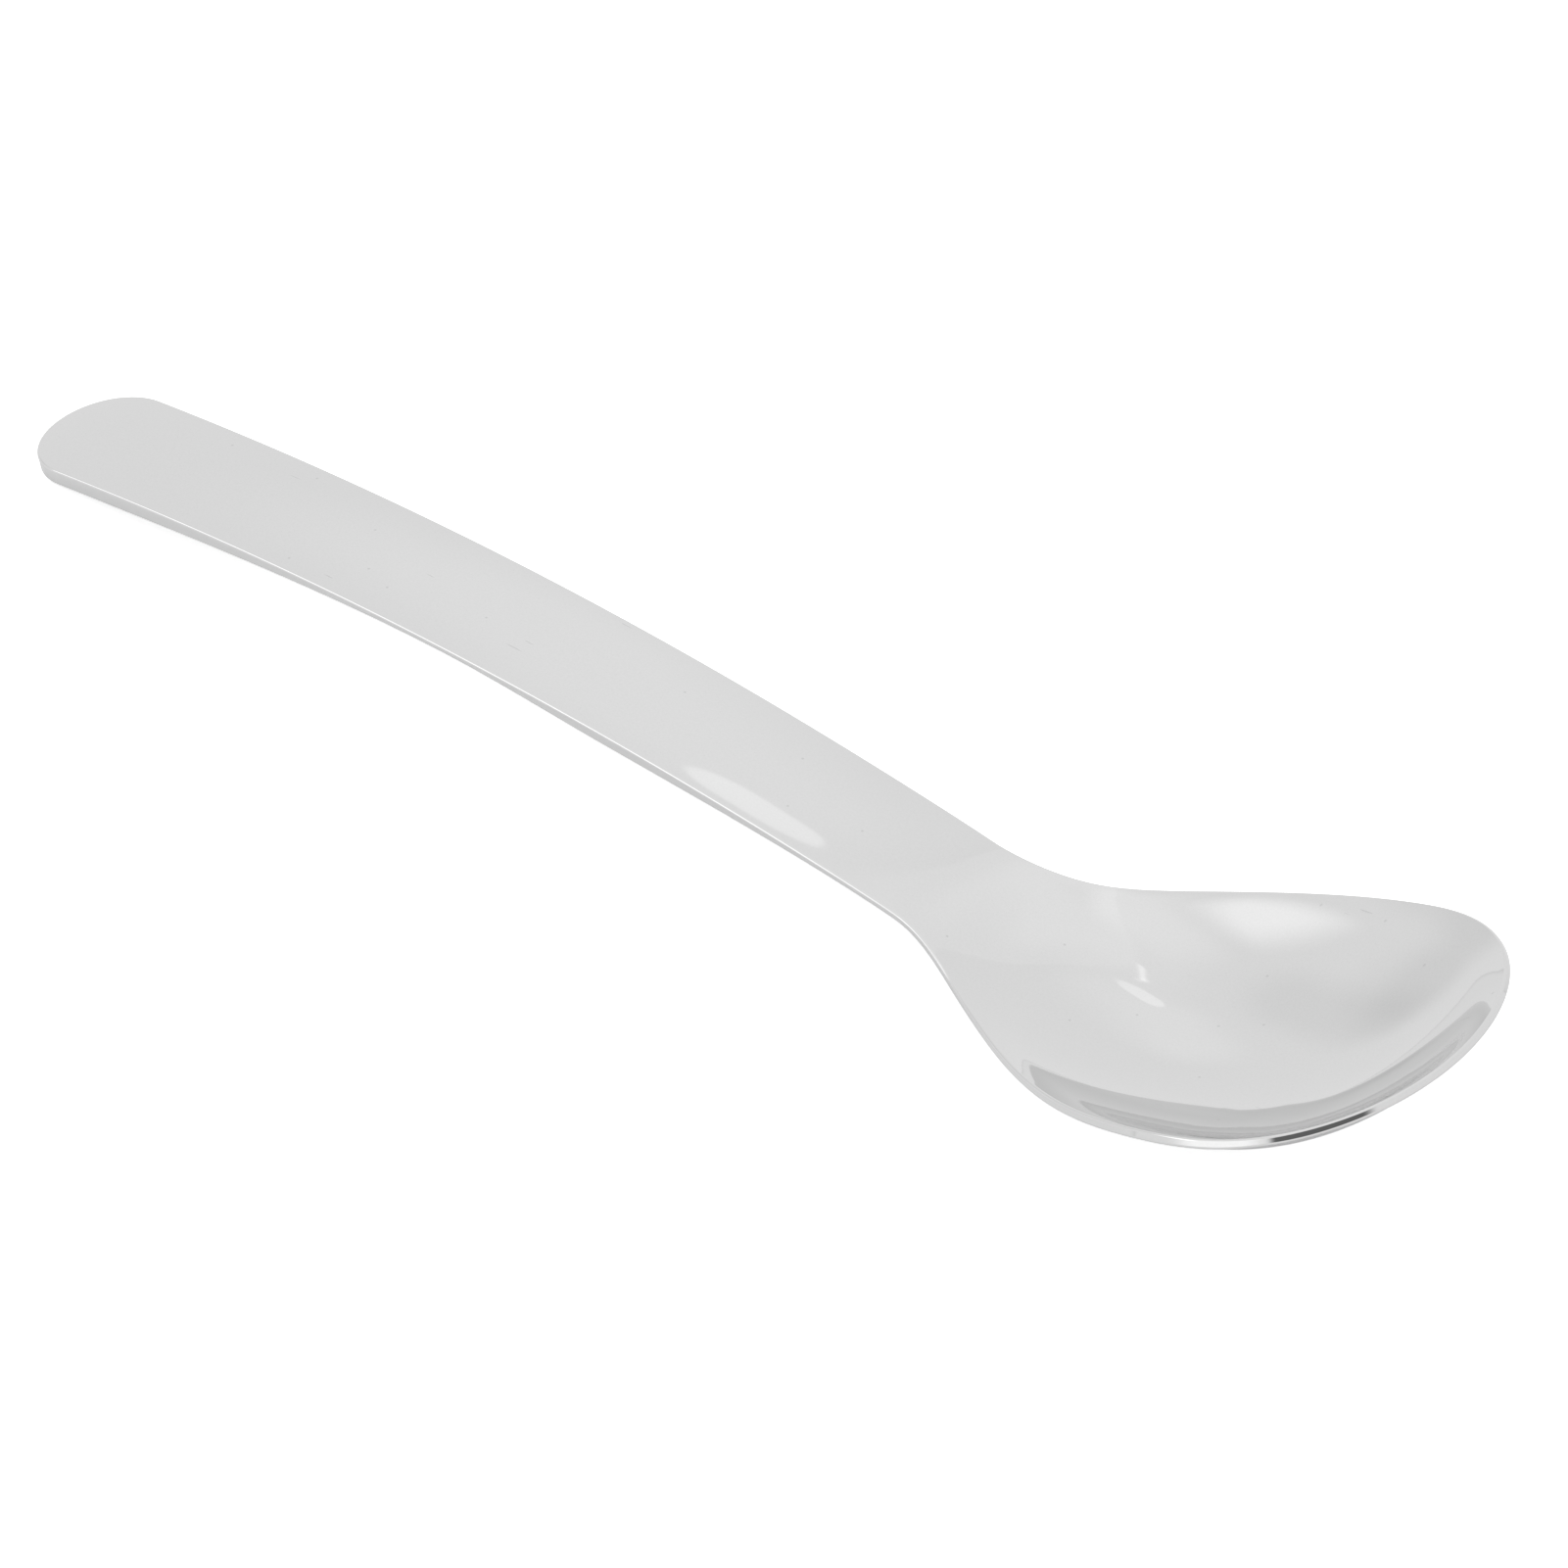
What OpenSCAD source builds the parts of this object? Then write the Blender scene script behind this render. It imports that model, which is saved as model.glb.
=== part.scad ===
// Soup spoon pressed from a single blank of polished steel
// The handle lies along X with the bowl's tip towards +X, and the spoon rests on the plane Z = 0

/* [Handle] */
// Length of the strap, from the handle's end to the root of the bowl's shoulders
handle_l = 121.5; // [100:0.5:140]
// Width of the strap at the handle's end
end_w = 15.9; // [12:0.1:20]
// Width of the strap at the neck
neck_w = 15.1; // [11:0.1:18]
// Length over which the handle's end is rounded off
end_round_l = 6.8; // [5:0.1:9]
// Height that the handle's arch rises above its end
arch_rise = 6.35; // [3:0.05:10]
// Distance from the handle's end to the highest place of the arch
arch_peak_at = 75; // [65:0.5:90]
// Height of the top face's crown, from its edges to its middle
crown_h = 0.35; // [0.1:0.05:0.6]

/* [Bowl] */
// Length of the shoulders, from the end of the strap to the bowl's widest place
shoulder_l = 47.5; // [38:0.5:52]
// Length from the bowl's widest place to its tip
front_l = 16; // [14:0.5:22]
// Length over which the bowl's sides bend into the round of the tip, on either side of the widest place
front_bend_l = 5; // [2:0.5:8]
// Width over the rim's inner edge at the widest place
bowl_w = 44.6; // [38:0.2:50]
// Depth of the hollow below the rim
bowl_depth = 8.6; // [6:0.1:11]
// Fullness of the shoulders' outline, larger for a rounder bowl
shoulder_fullness_share = 2.75; // [1:0.01:2.9]
// Steepness that the hollow's walls gain towards the rim
wall_steepness_share = 0.1; // [0:0.02:0.5]

/* [Profile] */
// Fall of the top face into the neck, per length along the spoon
neck_fall_share = 0.17; // [0:0.01:0.2]
// Rise of the rim behind the neck, per length along the spoon
heel_rise_share = 0.42; // [0.2:0.01:0.5]
// Further rise of the rim along the shoulders, per length along the spoon
rim_rise_share = 0.46; // [0.2:0.01:0.6]
// Flattening of the rim towards the tip, per length along the spoon
tip_ease_share = 0.29; // [0:0.01:0.35]

/* [Blank] */
// Thickness of the edge near the handle's end
end_edge_t = 1.85; // [1.2:0.05:2.4]
// Thickness of the edge where the handle is drawn thin
thin_edge_t = 0.75; // [0.65:0.05:1.5]
// Thickness of the edge beyond the middle of the handle
mid_edge_t = 1.45; // [0.8:0.05:1.8]
// Thickness of the edge at the neck
neck_edge_t = 0.8; // [0.65:0.05:1.8]
// Thickness of the edge on the bowl's shoulders
shoulder_edge_t = 0.8; // [0.7:0.05:1.8]
// Thickness of the rim at the bowl's widest place
rim_t = 1; // [0.7:0.05:1.4]
// Thickness of the rim at the bowl's tip
tip_t = 0.85; // [0.65:0.05:1.2]
// Thickness of the blank along the handle's centre line
handle_core_t = 2.1; // [1.4:0.05:2.6]
// Thickness of the blank at the bottom of the bowl
bowl_core_t = 1.3; // [0.9:0.05:1.8]
// Radius of the polished edges
edge_r = 0.25; // [0.1:0.05:0.3]

/* [Hidden] */

widest_at = handle_l + shoulder_l;
length = widest_at + front_l;

// Places of the edge's thicknesses, as shares of the strap's length
end_edge_share = 0.1;
thin_edge_share = 0.5;
mid_edge_share = 0.69;
neck_edge_share = 0.97;
// Place of the shoulders' edge thickness, as a share of the shoulders' length
shoulder_edge_share = 0.3;
// Stretch along the shoulders over which the crown and the thick core run out
crown_fade_shares = [-0.25, 0.2];
core_fade_shares = [-0.15, 0.4];

// Rows of points along the rounded end, the strap, the shoulders and the bowl's front
end_steps = 10;
strap_steps = 38;
shoulder_steps = 28;
front_steps = 14;
// Columns of points from one long edge to the other
across_steps = 24;
rows = end_steps + strap_steps + shoulder_steps + front_steps + 1;
columns = across_steps + 1;
// Angles at which the rounding of an edge has a row of points
round_angles = [45, 90];
// Distance over which a surface's slope is measured
probe = 0.01;

// Soft bends of the rim line: place as a share of the shoulders, turn per length, softness as a share
bend_shares = [
    [0.05, -neck_fall_share, 0.04],
    [0.235, heel_rise_share, 0.045],
    [0.66, rim_rise_share, 0.2],
    [1.045, -tip_ease_share, 0.09]
];

// Thickness of the edge at its stations along the spoon
edge_stations = [
    [end_edge_share * handle_l, end_edge_t],
    [thin_edge_share * handle_l, thin_edge_t],
    [mid_edge_share * handle_l, mid_edge_t],
    [neck_edge_share * handle_l, neck_edge_t],
    [handle_l + shoulder_edge_share * shoulder_l, shoulder_edge_t],
    [widest_at, rim_t],
    [length, tip_t]
];

function clamp(t) = min(1, max(0, t));
function ease(t) = pow(clamp(t), 2) * (3 - 2 * clamp(t));
function swell(t) = pow(clamp(t) * (1 - clamp(t)), 2);
function total(values) = [for (v = values) 1] * values;
function on_shoulder(share) = handle_l + share * shoulder_l;

// Value that eases from station to station along x
function along(x, stations) =
    let (
        gains = [
            for (k = [1 : len(stations) - 1])
                let (span = stations[k].x - stations[k - 1].x)
                (stations[k].y - stations[k - 1].y) * ease((x - stations[k - 1].x) / span)
        ]
    )
    stations[0].y + total(gains);

// Half of the outline's width, without the rounding of the two ends
function half_width(x) =
    let (
        strap = (end_w + (neck_w - end_w) * x / handle_l) / 2,
        t = (x - handle_l) / shoulder_l
    )
    strap + (bowl_w / 2 - strap) * (ease(t) + shoulder_fullness_share * swell(t));

// Square of the distance beyond the widest place, which starts softly over the bend's length
function beyond(u) =
    abs(u) < front_bend_l ? pow(u + front_bend_l, 3) / (6 * front_bend_l)
    : u > 0 ? pow(u, 2) + pow(front_bend_l, 2) / 3
    : 0;

// Distance beyond the widest place at which beyond() has a value
function beyond_at(value) =
    value < beyond(front_bend_l) ? pow(6 * front_bend_l * value, 1 / 3) - front_bend_l
    : sqrt(value - pow(front_bend_l, 2) / 3);

// Square of how far out a place lies, 0 on the centre line and 1 on the outline
function outwards(x, y) =
    let (end = max(0, (end_round_l - x) / end_round_l))
    pow(end, 2) + beyond(x - widest_at) / beyond(front_l) + pow(y / half_width(x), 2);

// Height of one soft bend: level before it and rising by turn beyond it
function bend(x, at, turn, soft) = turn * soft * ln(1 + exp((x - at) / soft));

// Height of the top face's edge along the spoon
function edge_height(x) =
    let (
        arch = arch_rise * (1 - pow((x - arch_peak_at) / arch_peak_at, 2)),
        bends = [for (b = bend_shares) bend(x, on_shoulder(b[0]), b[1], b[2] * shoulder_l)]
    )
    arch + total(bends);

// Height of the top face: the crowned strap runs out into the hollow of the bowl
function top_height(x, y) =
    let (
        out = outwards(x, y),
        fade = [for (share = crown_fade_shares) on_shoulder(share)],
        crown = crown_h * (1 - ease((x - fade[0]) / (fade[1] - fade[0]))),
        hollow = bowl_depth * ease((x - handle_l) / shoulder_l),
        wall = (1 - wall_steepness_share) * out + wall_steepness_share * pow(out, 2)
    )
    edge_height(x) + crown * (1 - out) - hollow * (1 - wall);

// Direction square to the top face, pointing up
function upright(x, y) =
    let (
        slope_x = (top_height(x + probe, y) - top_height(x - probe, y)) / (2 * probe),
        slope_y = (top_height(x, y + probe) - top_height(x, y - probe)) / (2 * probe),
        n = [-slope_x, -slope_y, 1]
    )
    n / norm(n);

// Thickness of the blank, from the core on the centre line to the edge
function blank_t(x, y) =
    let (
        edge = along(x, edge_stations),
        fade = [for (share = core_fade_shares) on_shoulder(share)],
        core = along(x, [[fade[0], handle_core_t], [fade[1], bowl_core_t]])
    )
    edge + (core - edge) * clamp(1 - outwards(x, y));

// Place of one row and column in plan, with the outline drawn in by inset
function plan(row, column, inset) =
    let (
        strap_row = row - end_steps,
        shoulder_row = strap_row - strap_steps,
        front_row = shoulder_row - shoulder_steps,
        back = max(0, -strap_row / end_steps),
        front = max(0, front_row / front_steps),
        side = 2 * column / across_steps - 1,
        strap_x = end_round_l + (handle_l - end_round_l) * clamp(strap_row / strap_steps),
        shoulder_x = (shoulder_l - front_bend_l) * clamp(shoulder_row / shoulder_steps),
        bulge = 1 - pow(side, 2) / 2,
        end_x = -(end_round_l - inset) * back * sqrt(bulge),
        front_x = beyond_at(beyond(front_l - inset) * pow(front, 2) * bulge) + front_bend_l,
        x = strap_x + shoulder_x + end_x + front_x,
        squeeze = sqrt(1 - pow(max(back, front), 2) / 2)
    )
    [x, (half_width(x) - inset) * side * squeeze];

function top_point(p) = [p.x, p.y, top_height(p.x, p.y)];
function under_point(p) = top_point(p) - blank_t(p.x, p.y) * upright(p.x, p.y);

// Rows and columns met on a walk round the outline
function outline_walk() = concat(
    [for (row = [0 : rows - 1]) [row, 0]],
    [for (column = [1 : columns - 1]) [rows - 1, column]],
    [for (row = [rows - 2 : -1 : 0]) [row, columns - 1]],
    [for (column = [columns - 2 : -1 : 1]) [0, column]]
);

// Rounding of one edge: from the face's border, out to the outline and on to the side
function edge_ring(face, outer, squares, angle) = [
    for (k = [0 : len(face) - 1])
        face[k] + (outer[k] - face[k]) * sin(angle) - edge_r * (1 - cos(angle)) * squares[k]
];

// Two triangles between four neighbours, clockwise from outside
function pair(a, b, c, d) = [[a, c, b], [a, d, c]];
function joined(lists) = [for (list = lists) each list];

walk = outline_walk();
grid = [for (row = [0 : rows - 1]) for (column = [0 : columns - 1]) plan(row, column, edge_r)];
border = [for (w = walk) plan(w[0], w[1], edge_r)];
outline = [for (w = walk) plan(w[0], w[1], 0)];

top_border = [for (p = border) top_point(p)];
under_border = [for (p = border) under_point(p)];
top_outer = [for (p = outline) top_point(p)];
under_outer = [for (p = outline) under_point(p)];
squares = [for (p = outline) upright(p.x, p.y)];

top_rings = [for (angle = round_angles) edge_ring(top_border, top_outer, squares, angle)];
under_rings = [for (angle = round_angles) edge_ring(under_border, under_outer, -squares, angle)];

blank_points = concat(
    [for (p = grid) top_point(p)],
    [for (p = grid) under_point(p)],
    joined(top_rings),
    [for (k = [len(under_rings) - 1 : -1 : 0]) each under_rings[k]]
);

// Numbers of the points, ring by ring, from the top face's border down to the underside's
face_count = rows * columns;
walk_count = len(walk);
ring_count = 2 * len(round_angles);
top_numbers = [for (w = walk) w[0] * columns + w[1]];
side_numbers = [
    for (ring = [0 : ring_count - 1])
        [for (k = [0 : walk_count - 1]) 2 * face_count + ring * walk_count + k]
];
rings = concat([top_numbers], side_numbers, [[for (n = top_numbers) face_count + n]]);

top_faces = [
    for (row = [0 : rows - 2])
        for (column = [0 : columns - 2])
            let (a = row * columns + column, b = a + columns)
            each pair(a, b, b + 1, a + 1)
];
under_faces = [for (f = top_faces) [f[0] + face_count, f[2] + face_count, f[1] + face_count]];
side_faces = [
    for (ring = [0 : len(rings) - 2])
        for (k = [0 : walk_count - 1])
            let (next = (k + 1) % walk_count, upper = rings[ring], lower = rings[ring + 1])
            each pair(upper[k], lower[k], lower[next], upper[next])
];

// Points tipped about Y by an angle, and the lowest of those with x from one place to another
function tipped(points, angle) = [
    for (p = points)
        [p.x * cos(angle) + p.z * sin(angle), p.y, p.z * cos(angle) - p.x * sin(angle)]
];
function lowest(points, from, to) =
    let (
        part = [for (p = points) if (p.x >= from && p.x <= to) p],
        bottom = min([for (p = part) p.z])
    )
    [for (p = part) if (p.z == bottom) p][0];

// Slope of the line that the handle's end and the bowl's bottom stand on
function stance(points) =
    let (
        foot = lowest(points, -length, arch_peak_at),
        bottom = lowest(points, arch_peak_at, 2 * length)
    )
    atan2(bottom.z - foot.z, bottom.x - foot.x);

first_tip = stance(blank_points);
rest_tip = first_tip + stance(tipped(blank_points, first_tip));
rest_points = tipped(blank_points, rest_tip);
rest_xs = [for (p = rest_points) p.x];
rest_zs = [for (p = rest_points) p.z];

module spoon() {
    color("silver")
        translate([-(min(rest_xs) + max(rest_xs)) / 2, 0, -min(rest_zs)])
            polyhedron(rest_points, concat(top_faces, under_faces, side_faces), convexity = 4);
}

spoon();
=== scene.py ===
import logging
import math
from dataclasses import dataclass
from enum import Enum

import bpy
import numpy as np
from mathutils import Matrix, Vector


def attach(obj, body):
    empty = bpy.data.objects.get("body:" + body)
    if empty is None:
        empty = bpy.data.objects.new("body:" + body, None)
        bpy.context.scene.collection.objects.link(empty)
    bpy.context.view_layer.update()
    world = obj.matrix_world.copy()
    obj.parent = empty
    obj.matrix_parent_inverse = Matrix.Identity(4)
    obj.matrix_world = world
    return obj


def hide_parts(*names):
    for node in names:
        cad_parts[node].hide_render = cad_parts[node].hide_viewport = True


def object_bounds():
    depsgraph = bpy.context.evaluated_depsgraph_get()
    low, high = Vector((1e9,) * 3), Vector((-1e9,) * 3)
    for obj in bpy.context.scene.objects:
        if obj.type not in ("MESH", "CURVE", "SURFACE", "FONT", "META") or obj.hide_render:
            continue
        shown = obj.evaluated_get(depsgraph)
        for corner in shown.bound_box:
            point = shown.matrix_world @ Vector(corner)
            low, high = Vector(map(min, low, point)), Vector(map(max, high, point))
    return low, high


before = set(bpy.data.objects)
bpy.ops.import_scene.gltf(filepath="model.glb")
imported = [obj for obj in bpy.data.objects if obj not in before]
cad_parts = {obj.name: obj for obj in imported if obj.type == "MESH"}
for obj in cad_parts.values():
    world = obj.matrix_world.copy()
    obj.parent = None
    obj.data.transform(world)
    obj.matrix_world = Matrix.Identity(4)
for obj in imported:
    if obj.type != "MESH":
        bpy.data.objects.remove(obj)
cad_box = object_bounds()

log = logging.getLogger("soup_spoon")

MM = 0.001
LEAST_DIVISOR = 1e-9
PHOTO_WIDTH_PX = 1601
THICKNESS_GROUP = "thickness"

Socket = bpy.types.NodeSocket


def ease(t: np.ndarray) -> np.ndarray:
    """Return a smooth step of t, level at 0 and at 1."""
    held = np.clip(t, 0.0, 1.0)
    return held**2 * (3.0 - 2.0 * held)


def swell(t: np.ndarray) -> np.ndarray:
    """Return a hump of t that starts and ends level at 0 and at 1."""
    held = np.clip(t, 0.0, 1.0)
    return (held * (1.0 - held)) ** 2


def along(x: np.ndarray, stations: list[tuple[float, float]]) -> np.ndarray:
    """Ease a value from station to station along the spoon.

    Args:
        x: Places along the spoon.
        stations: Place and value of each station, in order.

    Returns:
        The value at each place.
    """
    value = np.full_like(x, stations[0][1])
    for (start, low), (end, high) in zip(stations, stations[1:]):
        value = value + (high - low) * ease((x - start) / (end - start))
    return value


def rounded(cap: np.ndarray, side: np.ndarray) -> tuple[np.ndarray, np.ndarray]:
    """Turn the rings of a square into the rings of a disc.

    Args:
        cap: How far out each point lies towards the end, from 0 to 1.
        side: How far out it lies sideways, from 0 to 1.

    Returns:
        The point's place on the disc, towards the end and sideways.
    """
    ring = np.maximum(cap, side)
    divisor = np.maximum(ring, LEAST_DIVISOR)
    turn = np.where(cap >= side, side / divisor, 2.0 - cap / divisor) * math.pi / 4
    return ring * np.cos(turn), ring * np.sin(turn)


def points_of(mesh: bpy.types.Mesh) -> np.ndarray:
    """Read the places of a mesh's points.

    Args:
        mesh: The mesh to read.

    Returns:
        One row of three coordinates for each point.
    """
    flat = np.empty(3 * len(mesh.vertices), np.float32)
    mesh.vertices.foreach_get("co", flat)
    return flat.reshape(-1, 3).astype(float)


def move_points(mesh: bpy.types.Mesh, points: np.ndarray) -> None:
    """Move a mesh's points to new places."""
    mesh.vertices.foreach_set("co", points.astype(np.float32).ravel())
    mesh.update()


def deselect_all() -> None:
    """Leave nothing selected, so that an operator acts on the new piece alone."""
    bpy.ops.object.select_all(action="DESELECT")


@dataclass(frozen=True)
class Strap:
    """Sizes of the handle's strap, in metres.

    Attributes:
        length: From the handle's end to where the shoulders start.
        end_width: Width at the handle's end.
        neck_width: Width where the shoulders start.
        end_round: Length of the rounded end.
        arch_rise: Height of the arch at its peak.
        arch_peak: Distance of the peak from the handle's end.
        crown: How far the middle of the top face stands above its edges.
    """

    length: float = 121.5 * MM
    end_width: float = 15.9 * MM
    neck_width: float = 15.1 * MM
    end_round: float = 6.8 * MM
    arch_rise: float = 6.35 * MM
    arch_peak: float = 75.0 * MM
    crown: float = 0.35 * MM


@dataclass(frozen=True)
class Bowl:
    """Sizes of the bowl, in metres, and the shares that shape its outline and walls.

    Attributes:
        shoulder: Length over which the outline swells from the neck to its widest place.
        front: Length from the widest place to the tip.
        front_bend: Half the length over which the rounding of the front sets in.
        width: Width at the widest place.
        depth: Depth of the hollow.
        fullness_share: Extra swelling of the shoulders.
        wall_steepness_share: Share of the wall's rise that is drawn towards the rim.
        rim_ease_start_share: Square of how far out the wall starts to run straighter, 1 on the rim.
        rim_ease_share: How much straighter it runs there.
    """

    shoulder: float = 47.5 * MM
    front: float = 16.0 * MM
    front_bend: float = 5.0 * MM
    width: float = 44.6 * MM
    depth: float = 8.6 * MM
    fullness_share: float = 2.75
    wall_steepness_share: float = 0.1
    rim_ease_start_share: float = 0.75
    rim_ease_share: float = 0.8

    def wall(self, out: np.ndarray) -> np.ndarray:
        """Find how far the wall has risen.

        Args:
            out: Square of how far out a place lies, 1 on the outline.

        Returns:
            Shares of the depth, from 0 in the middle to 1 on the rim.
        """
        steep = self.wall_steepness_share
        past = np.maximum(0.0, out - self.rim_ease_start_share)
        whole = 1.0 - self.rim_ease_share * (1.0 - self.rim_ease_start_share) ** 2
        return ((1.0 - steep) * out + steep * out**2 - self.rim_ease_share * past**2) / whole

    def beyond(self, distance: np.ndarray | float) -> np.ndarray:
        """Square a distance beyond the widest place, starting softly over the bend.

        Over the bend a cubic stands in for the square and joins it with the same slope and curvature.

        Args:
            distance: Distance beyond the widest place, negative before it.

        Returns:
            The softened square, 0 up to where the bend starts.
        """
        bend = self.front_bend
        soft = np.clip(np.add(distance, bend), 0.0, 2.0 * bend) ** 3 / (6.0 * bend)
        return np.where(np.less(distance, bend), soft, np.square(distance) + bend**2 / 3.0)

    def beyond_at(self, value: np.ndarray) -> np.ndarray:
        """Find the distance at which beyond() has a value.

        Args:
            value: Softened squares.

        Returns:
            Distances beyond the widest place.
        """
        bend = self.front_bend
        square = np.sqrt(np.maximum(value - bend**2 / 3.0, 0.0))
        return np.where(value < 4.0 * bend**2 / 3.0, np.cbrt(6.0 * bend * value) - bend, square)


@dataclass(frozen=True)
class Bend:
    """One soft bend of the rim line.

    Attributes:
        place_share: Distance of the bend from the neck, as a share of the shoulders' length.
        turn_share: Slope that the bend adds.
        softness_share: Length over which it sets in, as a share of the shoulders' length.
    """

    place_share: float
    turn_share: float
    softness_share: float

    def rise(self, x: np.ndarray, strap: Strap, bowl: Bowl) -> np.ndarray:
        """Find the height that the bend adds along the spoon.

        Args:
            x: Places along the spoon.
            strap: The strap that the shoulders start from.
            bowl: The bowl whose shoulders the shares belong to.

        Returns:
            The added height, level before the bend and sloping beyond it.
        """
        softness = self.softness_share * bowl.shoulder
        place = strap.length + self.place_share * bowl.shoulder
        return self.turn_share * softness * np.logaddexp(0.0, (x - place) / softness)


@dataclass(frozen=True)
class Blank:
    """Thickness of the steel, in metres, at its edge and along its middle.

    Attributes:
        end_edge: Edge near the handle's end.
        thin_edge: Edge halfway along the handle, its thinnest place.
        mid_edge: Edge between there and the neck.
        neck_edge: Edge at the neck.
        shoulder_edge: Edge on the shoulders.
        rim: Edge at the bowl's widest place.
        tip: Edge at the tip.
        handle_core: Thickness along the middle of the handle.
        bowl_core: Thickness along the middle of the bowl.
        edge_radius: Rounding of the edges.
        edge_turn_deg: Sharpness, in degrees, from which an edge is rounded.
        edge_place_shares: Places of the first four edges, as shares of the strap's length.
        shoulder_edge_share: Place of the shoulders' edge, as a share of their length.
        core_fade_shares: Where the middle starts and stops thinning, in shares of the shoulders' length.
    """

    end_edge: float = 1.85 * MM
    thin_edge: float = 0.75 * MM
    mid_edge: float = 1.45 * MM
    neck_edge: float = 0.8 * MM
    shoulder_edge: float = 0.8 * MM
    rim: float = 1.0 * MM
    tip: float = 0.85 * MM
    handle_core: float = 2.1 * MM
    bowl_core: float = 1.3 * MM
    edge_radius: float = 0.25 * MM
    edge_turn_deg: float = 50.0
    edge_place_shares: tuple[float, ...] = (0.1, 0.5, 0.69, 0.97)
    shoulder_edge_share: float = 0.3
    core_fade_shares: tuple[float, float] = (-0.15, 0.4)


@dataclass(frozen=True)
class MeshCounts:
    """Counts of the faces that the blank is divided into.

    Attributes:
        strap_rows: Rows along the strap.
        shoulder_rows: Rows along the shoulders.
        half_columns: Columns on either side of the middle, and rows in each rounded end.
        edge_segments: Faces across each rounded edge.
        border_share: Breadth of the outermost column, as a share of half the width.
    """

    strap_rows: int = 208
    shoulder_rows: int = 92
    half_columns: int = 40
    edge_segments: int = 4
    border_share: float = 0.04

    @property
    def columns(self) -> int:
        """Count of the faces across the blank."""
        return 2 * self.half_columns

    @property
    def rows(self) -> int:
        """Count of the faces along the blank, with a rounded cap at each end."""
        return self.columns + self.strap_rows + self.shoulder_rows

    def share(self, steps: np.ndarray) -> np.ndarray:
        """Find how far out a column lies, with one broad column at the border.

        Args:
            steps: Columns counted from the middle.

        Returns:
            Shares from 0 in the middle to 1 on the outline.
        """
        inner = (1.0 - self.border_share) / (self.half_columns - 1)
        return np.where(steps >= self.half_columns, 1.0, steps * inner)


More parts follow.
